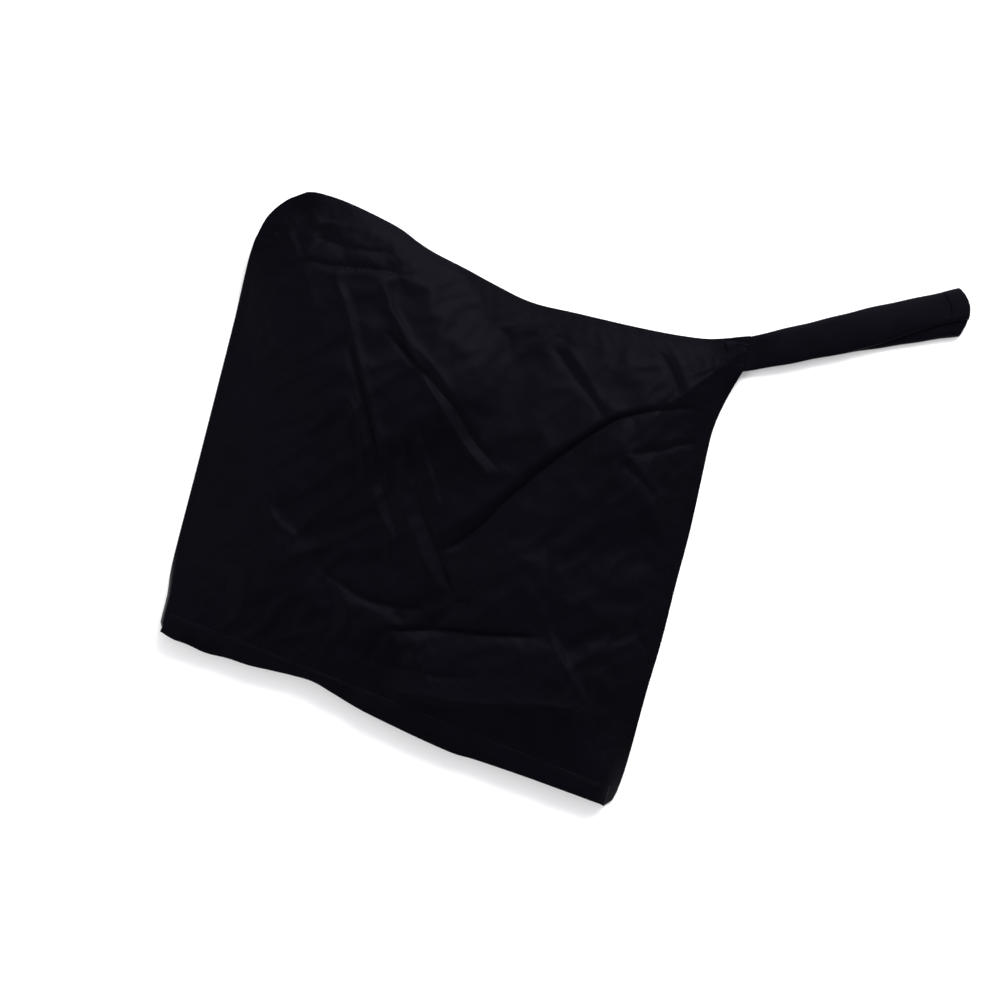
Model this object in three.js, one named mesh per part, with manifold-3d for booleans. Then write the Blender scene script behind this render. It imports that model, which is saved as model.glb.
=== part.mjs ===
// Film changing bag: a flat, light-tight cloth bag with a separate lining bag inside it.
// The user loads film by touch, with both arms in through two sleeves with elastic cuffs.
// The mouth along the lower edge closes with two zips, one in the outer bag and one in the
// lining bag, and a cloth flap overhangs the outer zip. The bag lies on its back, empty, with
// the right sleeve drawn out straight and the left sleeve folded under the bag.
// Sizes are in millimetres. +X runs across the bag, +Y from the zips to the sleeves, +Z up.
import * as THREE from "three";
import { mergeVertices } from "three/addons/utils/BufferGeometryUtils.js";
import Module from "manifold-3d";

const wasm = await Module();
wasm.setup();

// Driving dimensions of the body
const BODY_WIDTH = 432;
const BODY_HEIGHT = 406;
const LEAN = 46; // how far the sleeve edge lies to the left of the zip edge
const LOFT = 24; // how far the front stands off the back over the middle of the bag
const EDGE_RAMP = 62; // distance from a sewn edge over which the front rises
const CLOTH = 1.2; // outer cloth, with its coating and spare fullness
const LINING = 0.8;
const GAP = 0.3; // between pieces that touch
const LINING_INSET = 8; // seam allowance between an outer edge and the lining's edge
const LINING_SLACK = 3; // how much lower than the outer front the lining's front stands

// Zips. Each stands upright, with its chain along X.
const TAPE_REACH = 7.6; // from the chain's middle to a tape's outer edge
const TAPE_ROOM = 0.2; // spare height under the back tape, where its seam turns under
const TAPE_THICK = 0.8;
const CHAIN_HALF = 3.1; // from the chain's middle to the back of the teeth
const CHAIN_GAP = 0.55; // from the chain's middle to a tooth's tip
const TOOTH_PITCH = 4; // at most: the teeth fill the chain's length evenly
const TOOTH_DEPTH = 1.2;
const TOOTH_THICK = 1.8; // how far the teeth stand off the tape
const STOP_LENGTH = 3;
const OUTER_ZIP_INSET = 11; // from the zip edge back to the outer tape's face
const OUTER_ZIP_END = 22; // from a side seam to the end of the outer zip
const INNER_ZIP_SPACING = 40; // from the outer zip's face back to the inner zip's face
const INNER_ZIP_END = 44;
const ZIP_END_RAMP = 20; // distance over which the cloth closes down at an outer zip's end
const MOUTH_BLEND = 60; // distance from a zip over which the front turns from wall to loft
const CHAIN_CENTRE = CLOTH + GAP + TAPE_ROOM + TAPE_REACH; // height over the bag's underside
const PANEL_LIP = 2.5; // how far the panels pass the face of the tape

// Sliders and their pulls
const SLIDER_LENGTH = 13;
const SLIDER_HALF = 5; // half its height, across the chain
const SLIDER_PLATE = 1.2;
const SLIDER_CLEARANCE = 0.4;
const SLIDER_WEB = 0.5; // thickness of the web that joins the plates between the tapes
const SLIDER_WEB_LENGTH = 6;
const BAIL_LENGTH = 8;
const BAIL_WIDTH = 2;
const BAIL_BAR = 1;
const BAIL_HOLE = 2.4; // clear height under the bail
const PULL_LENGTH = 28;
const PULL_WIDTH = 7;
const PULL_THICK = 1.2;
const PULL_PIN = 0.6; // radius of the cross bar that hangs in the bail
const PULL_SLOT = 6; // from the cross bar to the near end of the solid tab

// Flap over the outer zip
const FLAP_SEAM = 10; // from its seam to the edge of the front panel
const FLAP_DROOP = 2.9;
const FLAP_OVERHANG = 6.5; // mean distance that it passes the front panel's edge
const FLAP_END = 20; // from a side seam to the flap's end
const FLAP_EASE = 0.9; // room under the flap for the front panel's rise

// Sleeves
const SLEEVE_LENGTH = 203; // from the armhole to the end of the cuff
const SLEEVE_THICK = 11;
const SLEEVE_ROOT_GAP = 1.5; // from the fold line to the start of the sleeve
const CUFF_LENGTH = 15;
const CUFF_WALL = 2.8;
const ELASTIC_WIDTH = 9;
const ELASTIC_THICK = 0.9;
const SQUARENESS = 0.62; // 1 gives an elliptical tube, less a flatter one
const RIGHT = { angle: 32, root: 29, middle: 35.5, cuff: 42, rise: 17, outward: 13 };
const LEFT = { angle: -34, root: 48, middle: 88, cuff: 80, drop: 13, outward: 15 };
const LIFT_MARGIN = 15; // how far the bag stays raised around the sleeve under it
const LIFT_EASE = 46; // distance over which it comes down to the floor

const deg = THREE.MathUtils.degToRad;
const top = BODY_HEIGHT / 2;
const half = BODY_WIDTH / 2;
const leanAt = (y) => (-LEAN * y) / BODY_HEIGHT;
const smooth = (t) => THREE.MathUtils.smoothstep(t, 0, 1);
const ramp = (t) => Math.sin((Math.PI / 2) * THREE.MathUtils.clamp(t, 0, 1));
const point = (x, y) => new THREE.Vector2(x, y);

// ---------------------------------------------------------------- materials

const material = (color, roughness, metalness = 0) =>
  new THREE.MeshStandardMaterial({ color, roughness, metalness });
const shellCloth = material(0x0d0c12, 0.62);
const liningCloth = material(0x111116, 0.85);
const tapeCloth = material(0x0b0b0e, 0.9);
const teethNylon = material(0x141418, 0.4);
const sliderMetal = material(0x1a1a1d, 0.35, 0.9);
const elasticRubber = material(0x18181a, 0.8);

// ------------------------------------------------------------------- outline

// Middle of the armhole edge that each sleeve is gathered into
const rightRoot = point(half + leanAt(top) + RIGHT.outward, top + RIGHT.rise);
const leftRoot = point(-half + leanAt(top) + LEFT.outward, top - LEFT.drop);

// The end of an armhole edge: side is 1 for the end to the left of the sleeve's direction
function armholeEnd(root, sleeve, side) {
  const across = deg(sleeve.angle + 90);
  return root.clone().add(
    point(Math.cos(across), Math.sin(across)).multiplyScalar((side * sleeve.root) / 2),
  );
}
const rightLow = armholeEnd(rightRoot, RIGHT, -1);
const rightHigh = armholeEnd(rightRoot, RIGHT, 1);
const leftLow = armholeEnd(leftRoot, LEFT, -1);
const leftHigh = armholeEnd(leftRoot, LEFT, 1);

const zipFace = -top + OUTER_ZIP_INSET; // Y of the outer face of the outer zip's tapes
const panelEdge = zipFace - PANEL_LIP;
const lowerLeft = point(-half + leanAt(panelEdge), panelEdge);
const lowerRight = point(half + leanAt(panelEdge), panelEdge);

// A side or top point: a share of the way along the body, and how far the cloth bulges there
const rightPoint = (share, bulge) => {
  const y = -top + share * BODY_HEIGHT;
  return point(half + leanAt(y) + bulge, y);
};
const topPoint = (share, rise) =>
  point(-half + leanAt(top) + share * BODY_WIDTH, top + rise);

const sideRight = new THREE.SplineCurve([
  lowerRight,
  rightPoint(0.2, 11),
  rightPoint(0.36, 11),
  rightPoint(0.65, 8),
  rightPoint(0.86, 8),
  rightLow,
]);
const sideTop = new THREE.SplineCurve([
  leftHigh,
  topPoint(0.12, 13),
  topPoint(0.28, 6),
  topPoint(0.42, -2),
  topPoint(0.57, -8),
  topPoint(0.75, 1),
  topPoint(0.95, 20),
  rightHigh,
]);
const straight = (a, b) => new THREE.LineCurve(a, b);
const sideLeft = straight(lowerLeft, leftLow);

// Points along curves laid end to end: parts is a list of [curve, number of steps]
function along(parts) {
  const points = [parts[0][0].getPoint(0)];
  for (const [curve, steps] of parts) {
    for (let i = 1; i <= steps; i++) points.push(curve.getPointAt(i / steps));
  }
  return points;
}

// Distance from a point to the nearest of a run of straight steps
function distanceTo(points, x, y) {
  let best = Infinity;
  const p = new THREE.Vector3(x, y, 0);
  const near = new THREE.Vector3();
  for (let i = 1; i < points.length; i++) {
    const a = new THREE.Vector3(points[i - 1].x, points[i - 1].y, 0);
    const b = new THREE.Vector3(points[i].x, points[i].y, 0);
    new THREE.Line3(a, b).closestPointToPoint(p, true, near);
    best = Math.min(best, near.distanceTo(p));
  }
  return best;
}
const OUTLINE_STEPS = 24;
const leftSteps = along([[sideLeft, 1]]);
const rightSteps = along([[sideRight, OUTLINE_STEPS]]);
const topSteps = along([[sideTop, OUTLINE_STEPS]]);

// ------------------------------------------------------------------- sleeves

// Half the sleeve's width at a distance from its armhole. It tapers evenly from the armhole
// to the middle, and from the middle to the cuff.
function sleeveHalfWidth(sleeve, s) {
  const share = THREE.MathUtils.clamp(s / SLEEVE_LENGTH, 0, 1) * 2;
  const inner = THREE.MathUtils.lerp(sleeve.root, sleeve.middle, share);
  const outer = THREE.MathUtils.lerp(sleeve.middle, sleeve.cuff, share - 1);
  return (share < 1 ? inner : outer) / 2;
}

// How far a point lies outside the ground that the folded left sleeve covers
function outsideLeftSleeve(x, y) {
  const local = point(x, y).sub(leftRoot).rotateAround(point(0, 0), -deg(LEFT.angle));
  const beyond = Math.max(local.x - SLEEVE_LENGTH, 0);
  const beside = Math.max(Math.abs(local.y) - sleeveHalfWidth(LEFT, local.x), 0);
  return Math.hypot(beyond, beside);
}

// Height of the bag's underside: raised over the folded sleeve, on the floor elsewhere
const FULL_LIFT = SLEEVE_THICK + 2 * GAP;
const undersideAt = (x, y) =>
  FULL_LIFT * smooth(1 - (outsideLeftSleeve(x, y) - LIFT_MARGIN) / LIFT_EASE);

// --------------------------------------------------------------------- body

const innerFace = zipFace + INNER_ZIP_SPACING;
const outerWall = CHAIN_CENTRE + TAPE_REACH - CLOTH; // front panel over back panel at the zip
const innerWall = outerWall - LINING - GAP;
const outerShell = {
  bottom: panelEdge,
  wall: outerWall,
  loft: LOFT,
  inset: 0,
  endRamp: ZIP_END_RAMP,
};
const innerShell = {
  bottom: innerFace - PANEL_LIP,
  wall: innerWall,
  loft: LOFT - LINING_SLACK,
  inset: LINING_INSET,
  endRamp: INNER_ZIP_END - LINING_INSET,
};

// How far a shell's front stands over its back
function riseAt(x, y, shell) {
  const toLeft = distanceTo(leftSteps, x, y);
  const toRight = distanceTo(rightSteps, x, y);
  const toSide = Math.min(toLeft, toRight) - shell.inset;
  const toEdge = Math.min(toSide, distanceTo(topSteps, x, y) - shell.inset);
  const atZip = shell.wall * ramp(toSide / shell.endRamp);
  const overBody = shell.loft * ramp(toEdge / EDGE_RAMP);
  const away = smooth((y - shell.bottom) / MOUTH_BLEND);
  const lifted = undersideAt(x, y) / FULL_LIFT;
  return THREE.MathUtils.lerp(atZip, overBody * (1 - 0.3 * lifted), away);
}

// A closed solid between two height functions over a grid of plan points
function slab(grid, lowAt, highAt) {
  const rows = grid.length;
  const columns = grid[0].length;
  const positions = [];
  for (const heightAt of [lowAt, highAt]) {
    for (const row of grid) for (const p of row) positions.push(p.x, p.y, heightAt(p.x, p.y));
  }
  const at = (layer, i, j) => layer * rows * columns + i * columns + j;
  const faces = [];
  const quad = (a, b, c, d) => faces.push(a, b, c, a, c, d);
  for (let i = 0; i < rows - 1; i++) {
    for (let j = 0; j < columns - 1; j++) {
      quad(at(1, i, j), at(1, i, j + 1), at(1, i + 1, j + 1), at(1, i + 1, j));
      quad(at(0, i, j), at(0, i + 1, j), at(0, i + 1, j + 1), at(0, i, j + 1));
    }
  }
  const wall = (a, b) => quad(at(0, ...a), at(0, ...b), at(1, ...b), at(1, ...a));
  for (let j = 0; j < columns - 1; j++) {
    wall([0, j], [0, j + 1]);
    wall([rows - 1, j + 1], [rows - 1, j]);
  }
  for (let i = 0; i < rows - 1; i++) {
    wall([i + 1, 0], [i, 0]);
    wall([i, columns - 1], [i + 1, columns - 1]);
  }
  const geometry = new THREE.BufferGeometry();
  geometry.setAttribute("position", new THREE.Float32BufferAttribute(positions, 3));
  geometry.setIndex(faces);
  return geometry;
}

// Shares from 0 to 1 that crowd towards both ends, where the cloth curves most
const crowded = (steps) =>
  Array.from({ length: steps + 1 }, (_, i) => {
    const t = i / steps;
    return THREE.MathUtils.lerp(t, smooth(t), 0.7);
  });

// Plan points of the body's four-sided patch, at shares across and up between its edges
function bodyGrid(across, up) {
  const bottomCurve = straight(lowerLeft, lowerRight);
  const rightCurve = new THREE.CurvePath();
  const topCurve = new THREE.CurvePath();
  rightCurve.curves = [sideRight, straight(rightLow, rightHigh)];
  topCurve.curves = [straight(leftLow, leftHigh), sideTop];
  return up.map((v) =>
    across.map((u) => {
      const bottom = bottomCurve.getPointAt(u);
      const above = topCurve.getPoint(u);
      const left = sideLeft.getPointAt(v);
      const right = rightCurve.getPoint(v);
      const ruled = (k) =>
        (1 - v) * bottom[k] + v * above[k] + (1 - u) * left[k] + u * right[k] -
        ((1 - u) * (1 - v) * lowerLeft[k] + u * (1 - v) * lowerRight[k] +
          (1 - u) * v * leftLow[k] + u * v * rightHigh[k]);
      return point(ruled("x"), ruled("y"));
    }),
  );
}

// The lining shares the outer cloth's plan points, so that the two never cross. It leaves
// out the first and last columns, the last row, and the rows in front of the inner zip.
const LINING_FIRST_ROW = 3;
const upShares = crowded(22);
upShares[LINING_FIRST_ROW] = (innerShell.bottom - panelEdge) / (leftLow.y - lowerLeft.y);
const shellGrid = bodyGrid(crowded(24), upShares);
const liningGrid = shellGrid.slice(LINING_FIRST_ROW, -1).map((row) => row.slice(1, -1));

const outerBackTop = (x, y) => undersideAt(x, y) + CLOTH;
const outerFrontLow = (x, y) => outerBackTop(x, y) + GAP + riseAt(x, y, outerShell);
const liningBackLow = (x, y) => outerBackTop(x, y) + GAP;
const liningBackTop = (x, y) => liningBackLow(x, y) + LINING;
const liningFrontLow = (x, y) => liningBackTop(x, y) + GAP + riseAt(x, y, innerShell);
const outerBack = slab(shellGrid, undersideAt, outerBackTop);
const outerFront = slab(shellGrid, outerFrontLow, (x, y) => outerFrontLow(x, y) + CLOTH);
const liningBack = slab(liningGrid, liningBackLow, liningBackTop);
const liningFront = slab(liningGrid, liningFrontLow, (x, y) => liningFrontLow(x, y) + LINING);

// --------------------------------------------------------------------- tubes

// A closed ring of cloth round a sleeve. profile is a closed run of [distance along the
// sleeve, depth under its outer surface], clockwise seen with the outer surface up.
const RING_STEPS = 16;
function ring(sleeve, profile) {
  const positions = [];
  const power = (value) => Math.sign(value) * Math.abs(value) ** SQUARENESS;
  for (let i = 0; i < RING_STEPS; i++) {
    const t = (2 * Math.PI * i) / RING_STEPS;
    for (const [s, depth] of profile) {
      const y = (sleeveHalfWidth(sleeve, s) - depth) * power(Math.cos(t));
      const z = SLEEVE_THICK / 2 + (SLEEVE_THICK / 2 - depth) * power(Math.sin(t));
      positions.push(s, y, z);
    }
  }
  const faces = [];
  const at = (i, j) => (i % RING_STEPS) * profile.length + (j % profile.length);
  for (let i = 0; i < RING_STEPS; i++) {
    for (let j = 0; j < profile.length; j++) {
      faces.push(at(i, j), at(i + 1, j), at(i + 1, j + 1));
      faces.push(at(i, j), at(i + 1, j + 1), at(i, j + 1));
    }
  }
  const geometry = new THREE.BufferGeometry();
  geometry.setAttribute("position", new THREE.Float32BufferAttribute(positions, 3));
  geometry.setIndex(faces);
  return geometry;
}

// A plain tube wall from one distance to another, at a depth and thickness, with a station
// where the sleeve's taper changes
function wallProfile(from, to, depth, thick) {
  const bend = SLEEVE_LENGTH / 2;
  const stations = from < bend ? [from, bend, to] : [from, to];
  return [
    ...stations.map((s) => [s, depth]),
    ...stations.reverse().map((s) => [s, depth + thick]),
  ];
}

const cuffStart = SLEEVE_LENGTH - CUFF_LENGTH;
const sleeveLiningDepth = CLOTH + 2 * GAP;
function sleevePieces(sleeve) {
  const groove = CUFF_LENGTH - ELASTIC_WIDTH - 2 * GAP; // cloth beyond the elastic's channel
  const outer = (CUFF_WALL - ELASTIC_THICK) / 2 - GAP; // cloth over the elastic
  const channelEnd = SLEEVE_LENGTH - groove;
  const cuff = [
    [cuffStart, 0],
    [SLEEVE_LENGTH, 0],
    [SLEEVE_LENGTH, CUFF_WALL],
    [cuffStart, CUFF_WALL],
    [cuffStart, CUFF_WALL - outer],
    [channelEnd, CUFF_WALL - outer],
    [channelEnd, outer],
    [cuffStart, outer],
  ];
  const elasticEnd = channelEnd - GAP;
  const clothEnd = cuffStart - GAP;
  return {
    outer: ring(sleeve, wallProfile(SLEEVE_ROOT_GAP, clothEnd, 0, CLOTH)),
    lining: ring(sleeve, wallProfile(SLEEVE_ROOT_GAP, clothEnd, sleeveLiningDepth, LINING)),
    cuff: ring(sleeve, cuff),
    elastic: ring(
      sleeve,
      wallProfile(elasticEnd - ELASTIC_WIDTH, elasticEnd, outer + GAP, ELASTIC_THICK),
    ),
  };
}

// ---------------------------------------------------------------------- zips

function box(x0, x1, y0, y1, z0, z1) {
  const made = new THREE.BoxGeometry(x1 - x0, y1 - y0, z1 - z0);
  return made.translate((x0 + x1) / 2, (y0 + y1) / 2, (z0 + z1) / 2);
}

// A geometry as a manifold solid, and back
function solid(geometry) {
  const bare = geometry.clone();
  bare.deleteAttribute("normal");
  bare.deleteAttribute("uv");
  const merged = mergeVertices(bare);
  const vertProperties = new Float32Array(merged.attributes.position.array);
  const triVerts = new Uint32Array(merged.index.array);
  return new wasm.Manifold(new wasm.Mesh({ numProp: 3, vertProperties, triVerts }));
}
function geometryOf(made) {
  const { vertProperties, triVerts } = made.getMesh();
  const geometry = new THREE.BufferGeometry();
  geometry.setAttribute("position", new THREE.Float32BufferAttribute(vertProperties, 3));
  geometry.setIndex([...triVerts]);
  return geometry;
}

// One row of teeth: a strip whose inner edge is a row of points. side is 1 over the chain's
// middle and -1 under it. The rows are set half a pitch apart, so their teeth alternate.
function teeth(length, side) {
  const count = Math.ceil(length / TOOTH_PITCH) - 1;
  const pitch = length / (count + 1);
  const start = (-count * pitch) / 2 + (side > 0 ? 0 : pitch / 2);
  const outline = new THREE.Shape();
  outline.moveTo(start, side * CHAIN_HALF);
  for (let i = 0; i < count; i++) {
    const x = start + i * pitch;
    outline.lineTo(x, side * (CHAIN_GAP + TOOTH_DEPTH));
    outline.lineTo(x + pitch / 2, side * CHAIN_GAP);
  }
  outline.lineTo(start + count * pitch, side * (CHAIN_GAP + TOOTH_DEPTH));
  outline.lineTo(start + count * pitch, side * CHAIN_HALF);
  const made = new THREE.ExtrudeGeometry(outline, { depth: TOOTH_THICK, bevelEnabled: false });
  return made.rotateX(Math.PI / 2).translate(0, -GAP, 0);
}

// The slider stands with its plates either side of the tapes, joined by a web between them.
// Y = 0 is the outer face of the tapes and the chain runs along X at height 0.
const plateInner = -(GAP + TOOTH_THICK + SLIDER_CLEARANCE); // near face of the outer plate
const plateOuter = plateInner - SLIDER_PLATE;
const backInner = TAPE_THICK + SLIDER_CLEARANCE;
const pullAxis = plateOuter - BAIL_HOLE / 2; // Y of the pull's cross bar
function sliderGeometry() {
  const long = SLIDER_LENGTH / 2;
  const outline = (taper) => {
    const shape = new THREE.Shape();
    shape.moveTo(-long, -SLIDER_HALF * taper);
    shape.quadraticCurveTo(-long + 2, -SLIDER_HALF, 0, -SLIDER_HALF);
    shape.quadraticCurveTo(long - 2, -SLIDER_HALF, long, -SLIDER_HALF * taper);
    shape.lineTo(long, SLIDER_HALF * taper);
    shape.quadraticCurveTo(long - 2, SLIDER_HALF, 0, SLIDER_HALF);
    shape.quadraticCurveTo(-long + 2, SLIDER_HALF, -long, SLIDER_HALF * taper);
    return shape;
  };
  // A plate across Y, from its face nearer the wearer to the other
  const plate = (near, thick) =>
    new THREE.ExtrudeGeometry(outline(0.72), {
      depth: thick,
      bevelEnabled: false,
      curveSegments: 4,
    })
      .rotateX(Math.PI / 2)
      .translate(0, near + thick, 0);
  const web = SLIDER_WEB_LENGTH / 2;
  const flangeTip = -SLIDER_CLEARANCE - GAP;
  const flangeFoot = CHAIN_HALF + SLIDER_CLEARANCE;
  const bail = BAIL_LENGTH / 2;
  const barOuter = plateOuter - BAIL_HOLE - BAIL_BAR;
  const side = BAIL_WIDTH / 2;
  const joined = [
    plate(backInner, SLIDER_PLATE),
    box(-web, web, plateInner - 0.2, backInner + 0.2, -SLIDER_WEB / 2, SLIDER_WEB / 2),
    box(-web, web, plateInner - 0.2, flangeTip, flangeFoot, flangeFoot + 1),
    box(-web, web, plateInner - 0.2, flangeTip, -flangeFoot - 1, -flangeFoot),
    box(-bail, bail, barOuter, barOuter + BAIL_BAR, -side, side),
    box(-bail, -bail + BAIL_BAR, barOuter, plateOuter + 0.2, -side, side),
    box(bail - BAIL_BAR, bail, barOuter, plateOuter + 0.2, -side, side),
  ].map(solid);
  const outerPlate = solid(plate(plateOuter, SLIDER_PLATE));
  return geometryOf(joined.reduce((whole, piece) => whole.add(piece), outerPlate));
}

// The pull lies along -X from its cross bar, at its own origin
function pullGeometry() {
  const half = PULL_WIDTH / 2;
  const arm = BAIL_WIDTH / 2 + 0.4;
  const tab = new THREE.Shape();
  const tip = -PULL_LENGTH + half;
  tab.moveTo(PULL_PIN, -half * 0.75);
  tab.lineTo(-PULL_SLOT, -half);
  tab.absarc(tip, 0, half, -Math.PI / 2, Math.PI / 2, true);
  tab.lineTo(-PULL_SLOT, half);
  tab.lineTo(PULL_PIN, half * 0.75);
  const window = new THREE.Path();
  window.moveTo(-PULL_SLOT, -arm);
  window.lineTo(-PULL_PIN, -arm);
  window.lineTo(-PULL_PIN, arm);
  window.lineTo(-PULL_SLOT, arm);
  tab.holes.push(window);
  const made = new THREE.ExtrudeGeometry(tab, {
    depth: PULL_THICK,
    bevelEnabled: false,
    curveSegments: 8,
  });
  return made.rotateX(Math.PI / 2).translate(0, PULL_THICK / 2, 0);
}

// ---------------------------------------------------------------------- flap

// Where the flap's free edge lies past its seam, at a share of the way along it. The edge
// waves, because the flap is cut from soft cloth and hangs free.
const flapWave = new THREE.SplineCurve([
  point(0, 1),
  point(0.12, 2),
  point(0.33, -7),
  point(0.45, 0),
  point(0.63, 8),
  point(0.8, 5),
  point(1, 1),
]);
function flapGeometry() {
  const flapBase = CLOTH + GAP + outerWall + CLOTH + GAP + FLAP_EASE;
  const seam = panelEdge + FLAP_SEAM;
  const from = lowerLeft.x + FLAP_END;
  const to = lowerRight.x - FLAP_END;
  const steps = 24;
  const rows = 4;
  const lineAt = (row) =>
    Array.from({ length: steps + 1 }, (_, i) => {
      const share = i / steps;
      const reach = FLAP_SEAM + FLAP_OVERHANG + flapWave.getPoint(share).y;
      return point(THREE.MathUtils.lerp(from, to, share), seam - (reach * row) / rows);
    });
  const grid = Array.from({ length: rows + 1 }, (_, i) => lineAt(rows - i));
  const reach = FLAP_OVERHANG + 9;
  const low = (x, y) => {
    const past = Math.max(panelEdge - y - 1, 0);
    return flapBase - FLAP_DROOP * smooth(past / reach);
  };
  return slab(grid, low, (x, y) => low(x, y) + CLOTH);
}

// ------------------------------------------------------------------ assembly

const bag = new THREE.Group();
function add(name, geometry, finish, parent = bag) {
  const mesh = new THREE.Mesh(geometry, finish);
  mesh.name = name;
  parent.add(mesh);
  return mesh;
}

add("outer_front_panel", outerFront, shellCloth);
add("outer_back_panel", outerBack, shellCloth);
add("lining_front_panel", liningFront, liningCloth);
add("lining_back_panel", liningBack, liningCloth);
add("zip_flap", flapGeometry(), shellCloth);

// One zip: its chain runs from a start to an end along X, and its slider rests closed, at
// the right end of the chain.
function addZip(name, face, inset, reach) {
  const from = lowerLeft.x + inset;
  const to = lowerRight.x - inset;
  const length = to - from;
  const zip = new THREE.Group();
  zip.position.set((from + to) / 2, face, CHAIN_CENTRE);
  bag.add(zip);
  const end = length / 2;
  const chain = length - 2 * STOP_LENGTH - 2;
  for (const [half, side] of [["front", 1], ["back", -1]]) {
    const [low, high] = [side * CHAIN_GAP, side * reach].sort((a, b) => a - b);
    add(`${name}_${half}_tape`, box(-end, end, 0, TAPE_THICK, low, high), tapeCloth, zip);
    add(`${name}_${half}_teeth`, teeth(chain, side), teethNylon, zip);
  }
  const stop = (x) =>
    box(x - STOP_LENGTH / 2, x + STOP_LENGTH / 2, -GAP - TOOTH_THICK, -GAP, -2.4, 2.4);
  add(`${name}_closed_stop`, stop(end - STOP_LENGTH / 2), sliderMetal, zip);
  add(`${name}_open_stop`, stop(-end + STOP_LENGTH / 2), sliderMetal, zip);
  const slider = new THREE.Group();
  slider.position.x = end - STOP_LENGTH - SLIDER_LENGTH / 2 - 1;
  zip.add(slider);
  add(`${name}_slider`, sliderGeometry(), sliderMetal, slider);
  const pull = add(`${name}_pull`, pullGeometry(), sliderMetal, slider);
  pull.position.y = pullAxis;
}
addZip("outer_zip", zipFace, OUTER_ZIP_END, TAPE_REACH - GAP);
addZip("inner_zip", innerFace, INNER_ZIP_END, TAPE_REACH - 2 * GAP - LINING);

function addSleeve(name, sleeve, root) {
  const group = new THREE.Group();
  group.position.set(root.x, root.y, 0);
  group.rotation.z = deg(sleeve.angle);
  bag.add(group);
  const pieces = sleevePieces(sleeve);
  add(`${name}_sleeve_outer`, pieces.outer, shellCloth, group);
  add(`${name}_sleeve_lining`, pieces.lining, liningCloth, group);
  add(`${name}_cuff_hem`, pieces.cuff, shellCloth, group);
  add(`${name}_cuff_elastic`, pieces.elastic, elasticRubber, group);
}
addSleeve("right", RIGHT, rightRoot);
addSleeve("left", LEFT, leftRoot);

// The origin is the middle of the whole bag's box, on the surface that it lies on
const bounds = new THREE.Box3().setFromObject(bag, true);
const centre = bounds.getCenter(new THREE.Vector3());
bag.position.set(-centre.x, -centre.y, -bounds.min.z);

export default bag;
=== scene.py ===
import math

import bpy
import numpy as np
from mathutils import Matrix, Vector, noise


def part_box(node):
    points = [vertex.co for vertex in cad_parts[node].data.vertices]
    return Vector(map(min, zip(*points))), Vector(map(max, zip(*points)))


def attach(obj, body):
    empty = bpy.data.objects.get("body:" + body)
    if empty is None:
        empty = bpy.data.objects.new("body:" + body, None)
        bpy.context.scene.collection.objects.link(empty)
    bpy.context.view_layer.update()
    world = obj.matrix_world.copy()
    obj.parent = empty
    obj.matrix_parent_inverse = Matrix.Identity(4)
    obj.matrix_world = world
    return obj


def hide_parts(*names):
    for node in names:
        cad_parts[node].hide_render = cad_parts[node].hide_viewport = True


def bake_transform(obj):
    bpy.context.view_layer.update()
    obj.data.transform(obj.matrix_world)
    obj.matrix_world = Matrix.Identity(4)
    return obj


bl_info = {
    "name": "Film changing bag",
    "version": (1, 0, 0),
    "blender": (4, 5, 0),
    "location": "View3D > Sidebar > Changing bag",
    "description": "Builds the cloth, zips, sleeves and stitching of a film changing bag",
    "category": "Object",
}

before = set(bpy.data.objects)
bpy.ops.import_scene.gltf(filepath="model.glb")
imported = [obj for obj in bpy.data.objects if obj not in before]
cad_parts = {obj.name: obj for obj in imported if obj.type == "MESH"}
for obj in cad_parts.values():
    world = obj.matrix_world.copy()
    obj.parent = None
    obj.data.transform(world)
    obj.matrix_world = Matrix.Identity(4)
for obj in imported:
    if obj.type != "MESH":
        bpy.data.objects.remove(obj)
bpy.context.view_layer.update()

# Lengths below are in millimetres in the bag's own plan: X along the zips, Y from the zips
# towards the sleeves, both from the body's middle, and Z up from the floor.
MM = 0.001
ZIP_LOW, ZIP_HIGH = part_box("outer_zip_front_tape")
ZIP_AT = (22.04, -192.0)  # middle of the outer zip and the front tape's outer face
MIDDLE = ((ZIP_LOW[0] + ZIP_HIGH[0]) / 2 / MM - ZIP_AT[0], ZIP_LOW[1] / MM - ZIP_AT[1])


def row(points):
    """Points in the bag's plan, in millimetres, as points in the row frame, in metres."""
    points = np.asarray(points, float)
    return (points + np.array([MIDDLE[0], MIDDLE[1], 0.0])) * MM


def smooth(t):
    t = np.clip(t, 0.0, 1.0)
    return t * t * (3 - 2 * t)


def ramp(t):
    return np.sin(math.pi / 2 * np.clip(t, 0.0, 1.0))


def mix(a, b, t):
    return a + (b - a) * t


def unit(vectors):
    return vectors / np.linalg.norm(vectors, axis=1)[:, None]


def distances(line):
    """How far along a line of points each one is."""
    return np.concatenate([[0], np.cumsum(np.linalg.norm(np.diff(line, axis=0), axis=1))])


def points_at(line, places):
    """Points at the given distances along a line."""
    lengths = distances(line)
    return np.column_stack([np.interp(places, lengths, line[:, k]) for k in range(line.shape[1])])


def curve(points, count):
    """Evenly spaced points on a smooth curve through the given ones."""
    points = np.asarray(points, float)
    ends = np.vstack([2 * points[0] - points[1], points, 2 * points[-1] - points[-2]])
    fine = []
    for a, b, c, d in zip(ends, ends[1:], ends[2:], ends[3:]):
        t = np.linspace(0, 1, 24, endpoint=False)[:, None]
        fine.append(
            0.5 * (2 * b + (c - a) * t + (2 * a - 5 * b + 4 * c - d) * t**2
                   + (3 * b - a - 3 * c + d) * t**3)
        )
    fine = np.vstack([*fine, points[-1:]])
    return points_at(fine, np.linspace(0, distances(fine)[-1], count))


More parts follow.
